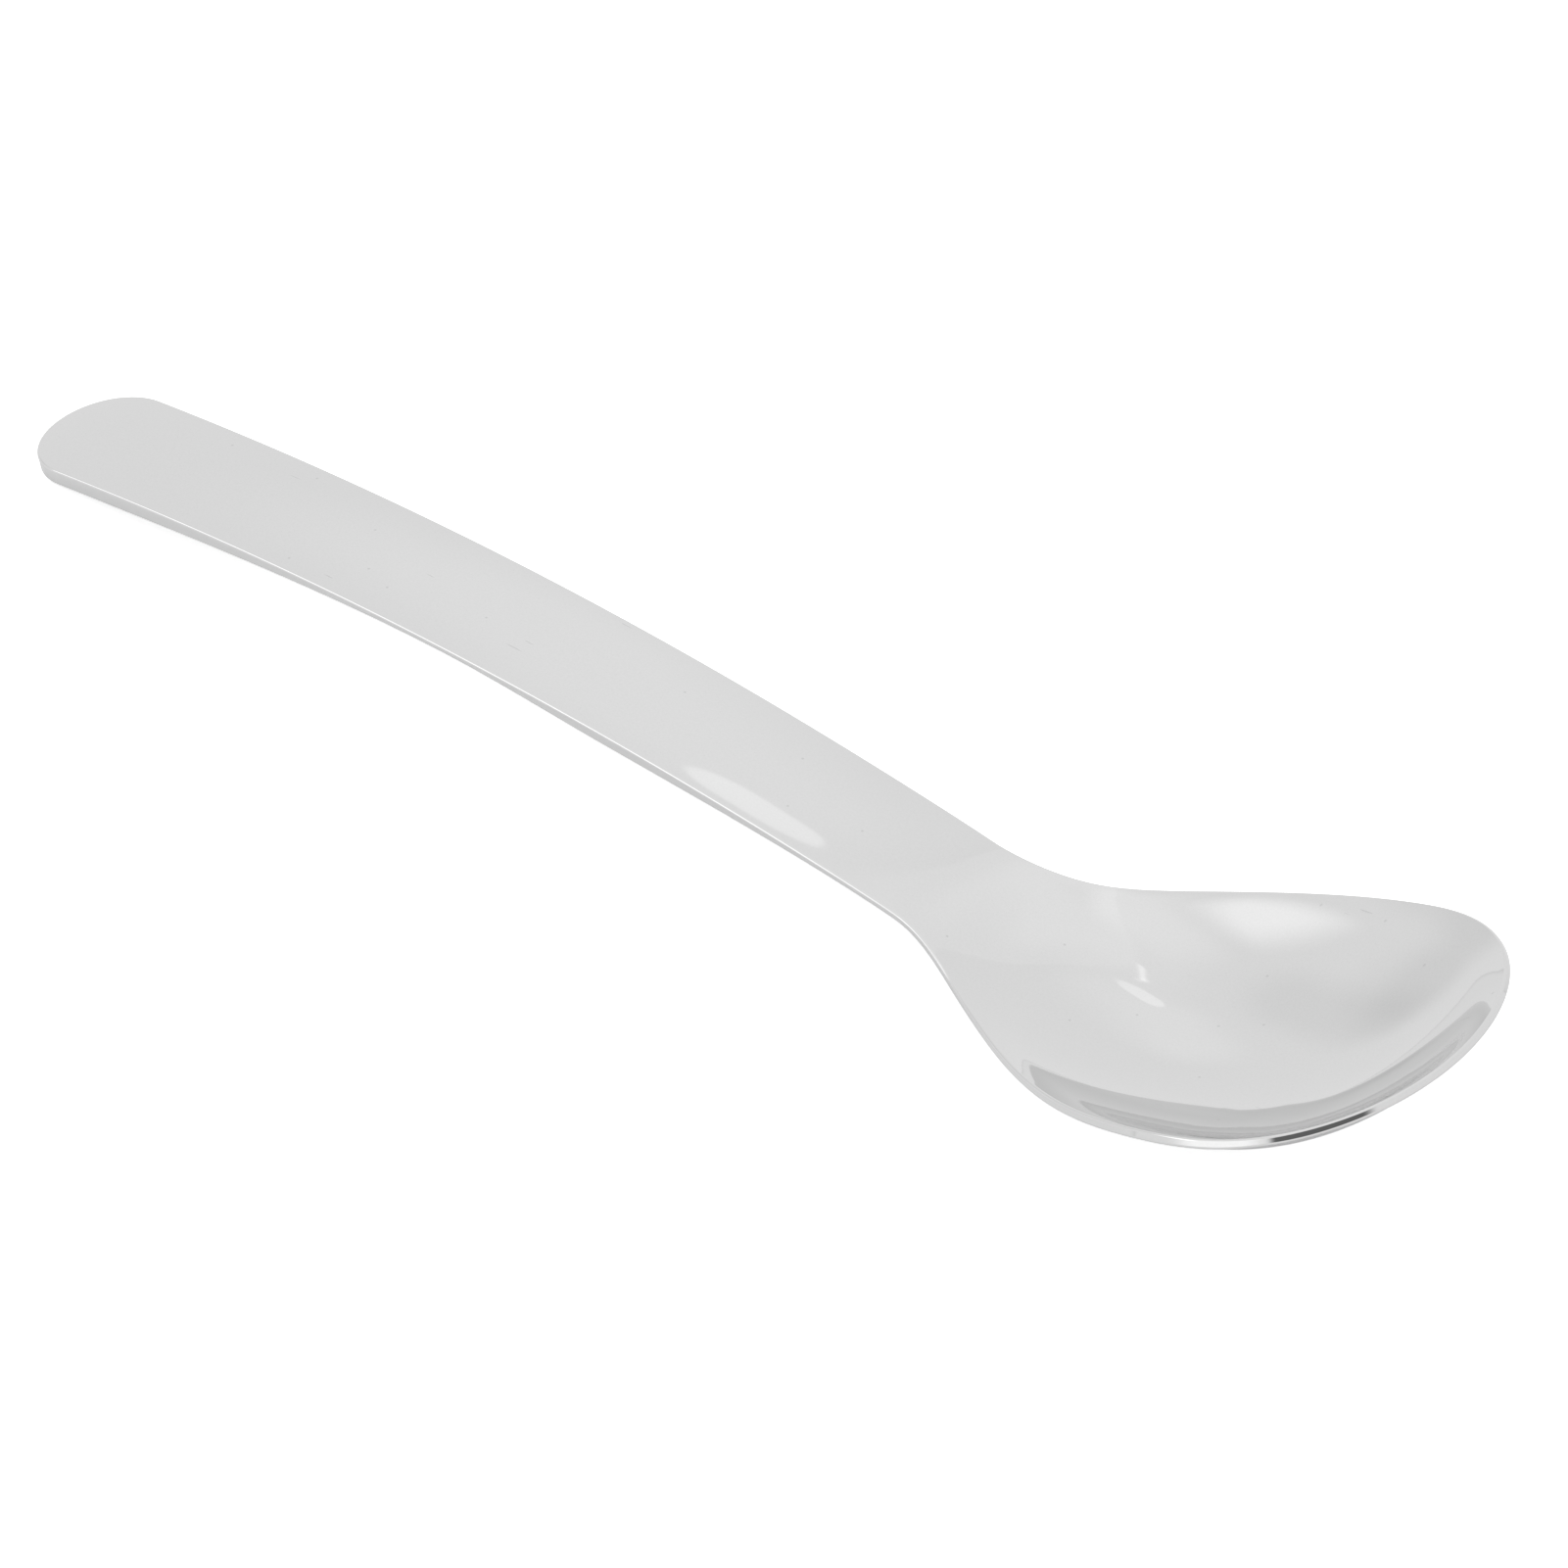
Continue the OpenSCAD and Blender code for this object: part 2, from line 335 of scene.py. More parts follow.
@dataclass(frozen=True)
class SoupSpoon:
    """The spoon: one blank of steel, drawn out as a strap and pressed into a bowl.

    Attributes:
        strap: Sizes of the handle's strap.
        bowl: Sizes of the bowl.
        blank: Thickness of the steel.
        counts: Counts of the faces.
        neck_fall: Bend by which the rim line falls at the neck.
        heel_rise: Bend by which it rises at the bowl's heel.
        rim_rise: Bend by which it rises towards the tip.
        tip_ease: Bend by which it eases off before the tip.
        crown_fade_shares: Where the crown starts and stops fading, in shares of the shoulders' length.
        levelling_rounds: Times that the two lowest places are found and made level.
        box_fit_share: Share of the solid's box that the fine mesh may fill.
    """

    strap: Strap = Strap()
    bowl: Bowl = Bowl()
    blank: Blank = Blank()
    counts: MeshCounts = MeshCounts()
    neck_fall: Bend = Bend(0.05, -0.17, 0.04)
    heel_rise: Bend = Bend(0.235, 0.42, 0.045)
    rim_rise: Bend = Bend(0.66, 0.46, 0.2)
    tip_ease: Bend = Bend(1.045, -0.29, 0.09)
    crown_fade_shares: tuple[float, float] = (-0.25, 0.2)
    levelling_rounds: int = 2
    box_fit_share: float = 0.9999

    @property
    def widest_at(self) -> float:
        """Place of the bowl's widest row."""
        return self.strap.length + self.bowl.shoulder

    def on_shoulder(self, share: float) -> float:
        """Return the place at a share of the shoulders' length."""
        return self.strap.length + share * self.bowl.shoulder

    def half_width(self, x: np.ndarray) -> np.ndarray:
        """Find half of the outline's width, without the rounding of the two ends.

        Args:
            x: Places along the spoon.

        Returns:
            Half of the width at each place.
        """
        strap, bowl = self.strap, self.bowl
        straight = (strap.end_width + (strap.neck_width - strap.end_width) * x / strap.length) / 2
        t = (x - strap.length) / bowl.shoulder
        return straight + (bowl.width / 2 - straight) * (ease(t) + bowl.fullness_share * swell(t))

    def outwards(self, x: np.ndarray, y: np.ndarray) -> np.ndarray:
        """Find how far out places lie.

        Args:
            x: Places along the spoon.
            y: Places across it.

        Returns:
            The square of how far out each place lies, 1 on the outline.
        """
        end = np.maximum(0.0, 1.0 - x / self.strap.end_round)
        front = self.bowl.beyond(x - self.widest_at) / self.bowl.beyond(self.bowl.front)
        return end**2 + front + (y / self.half_width(x)) ** 2

    def edge_height(self, x: np.ndarray) -> np.ndarray:
        """Find the height of the top face's edge.

        Args:
            x: Places along the spoon.

        Returns:
            The height at each place.
        """
        strap = self.strap
        arch = strap.arch_rise * (1.0 - ((x - strap.arch_peak) / strap.arch_peak) ** 2)
        bends = (self.neck_fall, self.heel_rise, self.rim_rise, self.tip_ease)
        return arch + sum(bend.rise(x, strap, self.bowl) for bend in bends)

    def top_height(self, x: np.ndarray, y: np.ndarray) -> np.ndarray:
        """Find the height of the top face, crowned on the strap and hollow in the bowl.

        Args:
            x: Places along the spoon.
            y: Places across it.

        Returns:
            The height at each place.
        """
        out = self.outwards(x, y)
        start, end = (self.on_shoulder(share) for share in self.crown_fade_shares)
        crown = self.strap.crown * (1.0 - ease((x - start) / (end - start)))
        hollow = self.bowl.depth * ease((x - self.strap.length) / self.bowl.shoulder)
        return self.edge_height(x) + crown * (1.0 - out) - hollow * (1.0 - self.bowl.wall(out))

    def thickness(self, x: np.ndarray, y: np.ndarray) -> np.ndarray:
        """Find the blank's thickness, between its middle and its edge.

        Args:
            x: Places along the spoon.
            y: Places across it.

        Returns:
            The thickness at each place.
        """
        blank, strap = self.blank, self.strap
        edges = (blank.end_edge, blank.thin_edge, blank.mid_edge, blank.neck_edge)
        stations = [(share * strap.length, edge) for share, edge in zip(blank.edge_place_shares, edges)]
        stations.append((self.on_shoulder(blank.shoulder_edge_share), blank.shoulder_edge))
        stations.append((self.widest_at, blank.rim))
        stations.append((self.widest_at + self.bowl.front, blank.tip))
        edge = along(x, stations)
        start, end = (self.on_shoulder(share) for share in blank.core_fade_shares)
        core = along(x, [(start, blank.handle_core), (end, blank.bowl_core)])
        return edge + (core - edge) * np.clip(1.0 - self.outwards(x, y), 0.0, 1.0)

    def plan(self, rows: np.ndarray, columns: np.ndarray) -> tuple[np.ndarray, np.ndarray]:
        """Lay the blank's rows and columns out in plan, round at both ends.

        Args:
            rows: Row of each point, from the handle's end.
            columns: Column of each point, from the middle, negative on the near side.

        Returns:
            Place along the spoon and across it for each point.
        """
        counts, strap, bowl = self.counts, self.strap, self.bowl
        strap_row = rows - counts.half_columns
        shoulder_row = strap_row - counts.strap_rows
        front_row = shoulder_row - counts.shoulder_rows
        back = counts.share(np.maximum(0.0, -strap_row))
        front = counts.share(np.maximum(0.0, front_row))
        cap = np.maximum(back, front)
        side = counts.share(np.abs(columns))
        reach, spread = rounded(cap, side)

        strap_share = np.clip(strap_row / counts.strap_rows, 0.0, 1.0)
        shoulder_share = np.clip(shoulder_row / counts.shoulder_rows, 0.0, 1.0)
        on_strap = strap.end_round + (strap.length - strap.end_round) * strap_share
        x = on_strap + (bowl.shoulder - bowl.front_bend) * shoulder_share
        rounding = bowl.beyond_at(bowl.beyond(bowl.front) * reach**2) + bowl.front_bend
        x = x + np.where(back > 0.0, -strap.end_round * reach, 0.0)
        x = x + np.where(front > 0.0, rounding, 0.0)
        across = np.where(cap > 0.0, spread, side)
        return x, self.half_width(x) * across * np.sign(columns)

    def build(self) -> bpy.types.Object:
        """Press the blank to shape, give it its thickness and round its edges.

        Returns:
            The finished spoon, laid on the table in the shared frame.
        """
        rows, columns = self.counts.rows, self.counts.columns
        deselect_all()
        bpy.ops.mesh.primitive_grid_add(x_subdivisions=rows, y_subdivisions=columns, size=2.0)
        spoon = bpy.context.object
        spoon.name = "polished_spoon"
        spoon.data.name = spoon.name
        self.press(spoon)
        self.thicken(spoon)
        self.round_edges(spoon)
        self.lay_down(spoon)
        return spoon

    def press(self, spoon: bpy.types.Object) -> None:
        """Press the flat grid into the spoon's top face and note its thickness.

        Args:
            spoon: The flat grid, which runs from -1 to 1 both ways.
        """
        flat = points_of(spoon.data)
        rows = np.rint((flat[:, 0] + 1.0) / 2.0 * self.counts.rows)
        columns = np.rint(flat[:, 1] * self.counts.half_columns)
        x, y = self.plan(rows, columns)
        move_points(spoon.data, np.stack([x, y, self.top_height(x, y)], axis=1))

        group = spoon.vertex_groups.new(name=THICKNESS_GROUP)
        for index, weight in enumerate(self.thickness(x, y) / self.blank.handle_core):
            group.add([index], float(weight), "REPLACE")

    def thicken(self, spoon: bpy.types.Object) -> None:
        """Give the pressed face its thickness, all of it below.

        Args:
            spoon: The pressed face, active and selected.
        """
        bpy.ops.object.shade_smooth()
        wall = spoon.modifiers.new("wall", "SOLIDIFY")
        wall.thickness = self.blank.handle_core
        wall.offset = -1.0
        wall.vertex_group = THICKNESS_GROUP
        wall.use_quality_normals = True
        bpy.ops.object.modifier_apply(modifier=wall.name)

    def round_edges(self, spoon: bpy.types.Object) -> None:
        """Round the blank's sharp edges.

        Args:
            spoon: The spoon with its thickness, active and selected.
        """
        edge = spoon.modifiers.new("edge", "BEVEL")
        edge.width = self.blank.edge_radius
        edge.segments = self.counts.edge_segments
        edge.limit_method = "ANGLE"
        edge.angle_limit = math.radians(self.blank.edge_turn_deg)
        edge.harden_normals = True
        bpy.ops.object.modifier_apply(modifier=edge.name)

    def lay_down(self, spoon: bpy.types.Object) -> None:
        """Tip the spoon until its two lowest places are level, and set it on the table.

        Args:
            spoon: The spoon as it was pressed, with the handle's end at the origin.
        """
        points = points_of(spoon.data)
        tip = 0.0
        for _ in range(self.levelling_rounds):
            tip += self.slope_below(self.tipped(points, tip))
        laid = self.tipped(points, tip)
        laid[:, 0] -= (laid[:, 0].min() + laid[:, 0].max()) / 2
        laid[:, 2] -= laid[:, 2].min()
        move_points(spoon.data, laid * self.draw_in(laid))

    def slope_below(self, points: np.ndarray) -> float:
        """Find the slope of the line under the spoon's two lowest places.

        Args:
            points: The spoon's points, with the handle's end at the origin.

        Returns:
            The slope's angle in radians, positive where the bowl is the higher one.
        """
        handle = points[points[:, 0] < self.strap.arch_peak]
        bowl = points[points[:, 0] >= self.strap.arch_peak]
        foot = handle[np.argmin(handle[:, 2])]
        belly = bowl[np.argmin(bowl[:, 2])]
        return math.atan2(belly[2] - foot[2], belly[0] - foot[0])

    def tipped(self, points: np.ndarray, angle: float) -> np.ndarray:
        """Turn points about Y.

        Args:
            points: The points to turn.
            angle: The angle in radians, positive where the bowl goes down.

        Returns:
            The turned points.
        """
        x, y, z = points.T
        cos, sin = math.cos(angle), math.sin(angle)
        return np.stack([x * cos + z * sin, y, z * cos - x * sin], axis=1)

    def draw_in(self, points: np.ndarray) -> np.ndarray:
        """Find the shares that keep the fine mesh inside the box of the solid's flat facets.

        Args:
            points: The laid spoon's points.

        Returns:
            One share per axis, 1 where the mesh lies inside already.
        """
        solid = np.ptp(np.array([list(corner) for corner in cad_box]), axis=0)
        return np.minimum(1.0, self.box_fit_share * solid / np.ptp(points, axis=0))

    def dress(self, spoon: bpy.types.Object, steel: "PolishedSteel") -> None:
        """Put the finish on the spoon and tie it to the frame.

        Args:
            spoon: The finished spoon.
            steel: Its finish.
        """
        spoon.data.materials.clear()
        spoon.data.materials.append(steel.make())
        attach(spoon, "root")
        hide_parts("spoon")


class Ramp(Enum):
    """Ways in which a value runs from one end of its range to the other."""

    STRAIGHT = "LINEAR"
    SOFT = "SMOOTHSTEP"


class NodeBench:
    """Adds and joins the nodes of one material or world."""

    def __init__(self, tree: bpy.types.NodeTree) -> None:
        """Start with an empty tree.

        Args:
            tree: The node tree to fill.
        """
        self.tree = tree
        tree.nodes.clear()

    def add(self, kind: str, inputs: dict | None = None, **settings: object) -> bpy.types.Node:
        """Add a node.

        Args:
            kind: The node's type.
            inputs: By the name or number of each input, the socket that feeds it or its plain value.
            settings: Settings of the node, by name.

        Returns:
            The new node.
        """
        node = self.tree.nodes.new(kind)
        for name, value in settings.items():
            setattr(node, name, value)
        for name, source in (inputs or {}).items():
            if isinstance(source, Socket):
                self.tree.links.new(source, node.inputs[name])
            else:
                node.inputs[name].default_value = source
        return node

    def math(self, operation: str, *terms: object) -> Socket:
        """Join sockets or numbers by one operation and return its result."""
        node = self.add("ShaderNodeMath", dict(enumerate(terms)), operation=operation)
        return node.outputs[0]

    def vector(self, operation: str, *terms: object) -> Socket:
        """Join sockets or vectors by one operation.

        Args:
            operation: The operation's name.
            terms: Sockets or plain vectors, in order.

        Returns:
            The result: a number for a dot product or a distance, and otherwise a vector.
        """
        node = self.add("ShaderNodeVectorMath", dict(enumerate(terms)), operation=operation)
        is_number = operation in ("DOT_PRODUCT", "DISTANCE")
        return node.outputs["Value" if is_number else "Vector"]

    def remap(
        self,
        value: Socket,
        start: float,
        end: float,
        low: float = 0.0,
        high: float = 1.0,
        ramp: Ramp = Ramp.STRAIGHT,
    ) -> Socket:
        """Turn a value's run from start to end into a run from low to high, held at both ends.

        Args:
            value: The value.
            start: The value that gives low.
            end: The value that gives high.
            low: The result at start.
            high: The result at end.
            ramp: The way in which the result runs between the two.

        Returns:
            The result.
        """
        inputs = {"Value": value, "From Min": start, "From Max": end, "To Min": low, "To Max": high}
        return self.add("ShaderNodeMapRange", inputs, interpolation_type=ramp.value).outputs[0]

    def noise(self, place: Socket, scale: float, detail: float) -> Socket:
        """Return smooth noise, mostly between 0.3 and 0.7, over a place."""
        return self.add("ShaderNodeTexNoise", {"Vector": place, "Scale": scale, "Detail": detail}).outputs[0]

    def stretched(self, place: Socket, turn_deg: float, scales: tuple[float, float, float]) -> Socket:
        """Return a place turned about Z, after it is stretched along each axis."""
        turn = (0.0, 0.0, math.radians(turn_deg))
        return self.add("ShaderNodeMapping", {"Vector": place, "Rotation": turn, "Scale": scales}).outputs[0]


@dataclass(frozen=True)
class PolishingLines:
    """Very fine lines that the polishing wheel leaves along the spoon.

    Attributes:
        stretch: How finely the noise varies along each axis, slowest along the spoon.
        scale: Fineness of the noise.
        detail: Finer layers in it.
    """

    stretch: tuple[float, float, float] = (12.0, 900.0, 900.0)
    scale: float = 4.0
    detail: float = 3.0

    def height(self, bench: NodeBench, place: Socket) -> Socket:
        """Return the height of the lines over a place."""
        return bench.noise(bench.stretched(place, 0.0, self.stretch), self.scale, self.detail)


@dataclass(frozen=True)
class Scratches:
    """A set of hairline marks that run along the spoon, thin and sparse.

    Attributes:
        angle_deg: Turn of the stretched noise, which gives each set places of its own.
        scale: Fineness of the noise.
        stretch: How many times longer than wide its grains are.
        threshold: Noise level at which a scratch starts.
        softness: Further rise of the noise over which the scratch becomes whole.
        detail: Finer layers in the noise.
    """

    angle_deg: float
    scale: float
    stretch: float
    threshold: float
    softness: float = 0.02
    detail: float = 1.0

    def mask(self, bench: NodeBench, place: Socket) -> Socket:
        """Mark the scratches, which lie where stretched noise stands highest.

        Args:
            bench: The material's nodes.
            place: Object coordinates.

        Returns:
            1 in a scratch and 0 beside it.
        """
        drawn_out = bench.stretched(place, self.angle_deg, (1.0, self.stretch, 1.0))
        noise = bench.noise(drawn_out, self.scale, self.detail)
        return bench.remap(noise, self.threshold, self.threshold + self.softness)


@dataclass(frozen=True)
class Specks:
    """Tiny pits, one in a few of the cells that the surface is divided into.

    Attributes:
        scale: Cells per metre.
        chosen_above: Lot from 0 to 1 above which a cell has a pit.
        core_share: Radius of the pit's floor, as a share of a cell.
        reach_share: Radius of the whole pit, as a share of a cell.
    """

    scale: float = 260.0
    chosen_above: float = 0.9
    core_share: float = 0.02
    reach_share: float = 0.05

    def mask(self, bench: NodeBench, place: Socket) -> Socket:
        """Mark the pits, round the middles of the chosen cells.

        Args:
            bench: The material's nodes.
            place: Object coordinates.

        Returns:
            1 in a pit and 0 beside it.
        """
        inputs = {"Vector": place, "Scale": self.scale}
        cells = bench.add("ShaderNodeTexVoronoi", inputs, voronoi_dimensions="2D").outputs
        lot = bench.add("ShaderNodeSeparateColor", {"Color": cells["Color"]}).outputs[0]
        chosen = bench.math("GREATER_THAN", lot, self.chosen_above)
        pit = bench.remap(cells["Distance"], self.reach_share, self.core_share)
        return bench.math("MULTIPLY", chosen, pit)


@dataclass(frozen=True)
class PolishedSteel:
    """Mirror-polished stainless steel with a fine grain, polishing lines, scratches and specks.

    Attributes:
        tone: The steel's own grey.
        grain_share: How much the grain varies the grey, either way.
        grain_scale: Fineness of the grain.
        grain_detail: Finer layers in the grain.
        smooth: Roughness where the polish is best.
        worn: Roughness where it is worn most.
        wear_scale: Fineness of the worn patches.
        wear_detail: Finer layers in them.
        wear_run: Noise levels at which the wear starts and is complete.
        mark_roughness: Roughness that a scratch or speck adds.
        mark_dark_share: How much darker it is.
        line_height_share: Height of the polishing lines, as a share of a mark's depth.
        relief_strength: Strength of the relief.
        relief_depth: Depth of a mark, in metres.
        lines: The polishing lines.
        specks: The specks.
        scratches: The sets of scratches.
    """

    tone: float = 0.67
    grain_share: float = 0.03
    grain_scale: float = 4500.0
    grain_detail: float = 2.0
    smooth: float = 0.03
    worn: float = 0.05
    wear_scale: float = 38.0
    wear_detail: float = 3.0
    wear_run: tuple[float, float] = (0.3, 0.7)
    mark_roughness: float = 0.1
    mark_dark_share: float = 0.12
    line_height_share: float = 0.12
    relief_strength: float = 0.035
    relief_depth: float = 0.02 * MM
    lines: PolishingLines = PolishingLines()
    specks: Specks = Specks()
    scratches: tuple[Scratches, ...] = (
        Scratches(24.0, 190.0, 11.0, 0.815),
        Scratches(-38.0, 170.0, 12.0, 0.815),
        Scratches(81.0, 210.0, 9.0, 0.81),
    )

    def make(self) -> bpy.types.Material:
        """Make the material, with every pattern on Object coordinates.

        Returns:
            The material.
        """
        material = bpy.data.materials.new("mirror_polished_steel")
        material.use_nodes = True
        bench = NodeBench(material.node_tree)
        place = bench.add("ShaderNodeTexCoord").outputs["Object"]
        marks = self.marks(bench, place)
        inputs = {
            "Base Color": self.colour(bench, place, marks),
            "Metallic": 1.0,
            "Roughness": self.roughness(bench, place, marks),
            "Normal": self.relief(bench, place, marks),
        }
        shader = bench.add("ShaderNodeBsdfPrincipled", inputs)
        bench.add("ShaderNodeOutputMaterial", {"Surface": shader.outputs[0]})
        return material

    def marks(self, bench: NodeBench, place: Socket) -> Socket:
        """Mark every scratch and speck.

        Args:
            bench: The material's nodes.
            place: Object coordinates.

        Returns:
            1 in a mark and 0 beside it.
        """
        mask = self.specks.mask(bench, place)
        for scratches in self.scratches:
            mask = bench.math("MAXIMUM", mask, scratches.mask(bench, place))
        return mask

    def colour(self, bench: NodeBench, place: Socket, marks: Socket) -> Socket:
        """Vary the steel's grey by its grain, and darken it in the marks.

        Args:
            bench: The material's nodes.
            place: Object coordinates.
            marks: Mask of the marks.

        Returns:
            The grey.
        """
        grain = bench.noise(place, self.grain_scale, self.grain_detail)
        low, high = self.tone * (1.0 - self.grain_share), self.tone * (1.0 + self.grain_share)
        clean = bench.remap(grain, 0.0, 1.0, low, high)
        kept = bench.math("SUBTRACT", 1.0, bench.math("MULTIPLY", marks, self.mark_dark_share))
        return bench.math("MULTIPLY", clean, kept)

    def roughness(self, bench: NodeBench, place: Socket, marks: Socket) -> Socket:
        """Vary the polish in soft patches, and roughen it in the marks.

        Args:
            bench: The material's nodes.
            place: Object coordinates.
            marks: Mask of the marks.

        Returns:
            The roughness.
        """
        wear = bench.noise(place, self.wear_scale, self.wear_detail)
        polish = bench.remap(wear, *self.wear_run, self.smooth, self.worn)
        return bench.math("ADD", polish, bench.math("MULTIPLY", marks, self.mark_roughness))

    def relief(self, bench: NodeBench, place: Socket, marks: Socket) -> Socket:
        """Raise the polishing lines and sink the marks.

        Args:
            bench: The material's nodes.
            place: Object coordinates.
            marks: Mask of the marks.

        Returns:
            The surface's direction with this relief.
        """
        lines = bench.math("MULTIPLY", self.lines.height(bench, place), self.line_height_share)
        height = bench.math("SUBTRACT", lines, marks)
        inputs = {"Height": height, "Strength": self.relief_strength, "Distance": self.relief_depth}
        return bench.add("ShaderNodeBump", inputs).outputs[0]


class Ray(Enum):
    """Kinds of ray that see the pale studio at its full level."""

    CAMERA = "Is Camera Ray"
    GLOSSY = "Is Glossy Ray"
    TRANSMISSION = "Is Transmission Ray"


def grey(tone: float) -> tuple[float, float, float, float]:
    """Return a grey of a tone as a full colour."""
    return (tone, tone, tone, 1.0)


def towards(azimuth_deg: float, elevation_deg: float) -> Vector:
    """Find the unit vector of a direction.

    Args:
        azimuth_deg: Angle about Z, 0 along +X and 90 along +Y.
        elevation_deg: Angle above the table.

    Returns:
        The unit vector.
    """
    azimuth, elevation = math.radians(azimuth_deg), math.radians(elevation_deg)
    level = math.cos(elevation)
    return Vector((level * math.cos(azimuth), level * math.sin(azimuth), math.sin(elevation)))


def gap_of(angle_deg: float) -> float:
    """Return the distance between the tips of two unit vectors that lie an angle apart."""
    return 2.0 * math.sin(math.radians(angle_deg) / 2.0)


@dataclass(frozen=True)
class Softbox:
    """A square studio lamp that looks at the spoon.

    Attributes:
        name: The lamp's name.
        azimuth_deg: Its direction about Z, 0 along +X and 90 along +Y.
        elevation_deg: Its direction above the table.
        distance: Its distance from the frame's origin, in metres.
        size: Length of its sides, in metres.
        power: Its power in watts.
        seen_in_steel: Whether the steel mirrors the lamp itself.
    """

    name: str
    azimuth_deg: float
    elevation_deg: float
    distance: float
    size: float
    power: float
    seen_in_steel: bool = False

    def build(self) -> None:
        """Hang the lamp and turn it to the spoon."""
        lamp = bpy.data.lights.new(self.name, "AREA")
        lamp.size = self.size
        lamp.energy = self.power
        holder = bpy.data.objects.new(self.name, lamp)
        bpy.context.scene.collection.objects.link(holder)
        direction = towards(self.azimuth_deg, self.elevation_deg)
        holder.location = direction * self.distance
        holder.rotation_euler = direction.to_track_quat("Z", "Y").to_euler()
        holder.visible_glossy = self.seen_in_steel


@dataclass(frozen=True)
class Patch:
    """A patch of the studio's walls that is lighter or darker than the rest.

    Attributes:
        start_deg: Azimuth and elevation of one end of the patch.
        end_deg: Those of its other end, the same as the first for a round patch.
        core_deg: Distance from the line between the ends within which the patch is whole.
        reach_deg: Distance from that line at which the patch has faded out.
        gain: Light that the patch adds, negative for a dark patch.
    """

    start_deg: tuple[float, float]
    end_deg: tuple[float, float]
    core_deg: float
    reach_deg: float
    gain: float

    def light(self, bench: NodeBench, direction: Socket) -> Socket:
        """Add the patch's nodes.

        Args:
            bench: The world's nodes.
            direction: The direction in which a ray leaves.

        Returns:
            The light that the patch adds in that direction.
        """
        nearest = start = towards(*self.start_deg)
        run = towards(*self.end_deg) - start
        if run.length > 0.0:
            past = bench.vector("SUBTRACT", direction, start)
            run_share = bench.vector("DOT_PRODUCT", past, run / run.length_squared)
            share = bench.add("ShaderNodeClamp", {"Value": run_share}).outputs[0]
            step = bench.add("ShaderNodeVectorMath", {0: run, "Scale": share}, operation="SCALE")
            nearest = bench.vector("ADD", step.outputs[0], start)
        gap = bench.vector("DISTANCE", direction, nearest)
        return bench.remap(gap, gap_of(self.reach_deg), gap_of(self.core_deg), 0.0, self.gain, Ramp.SOFT)


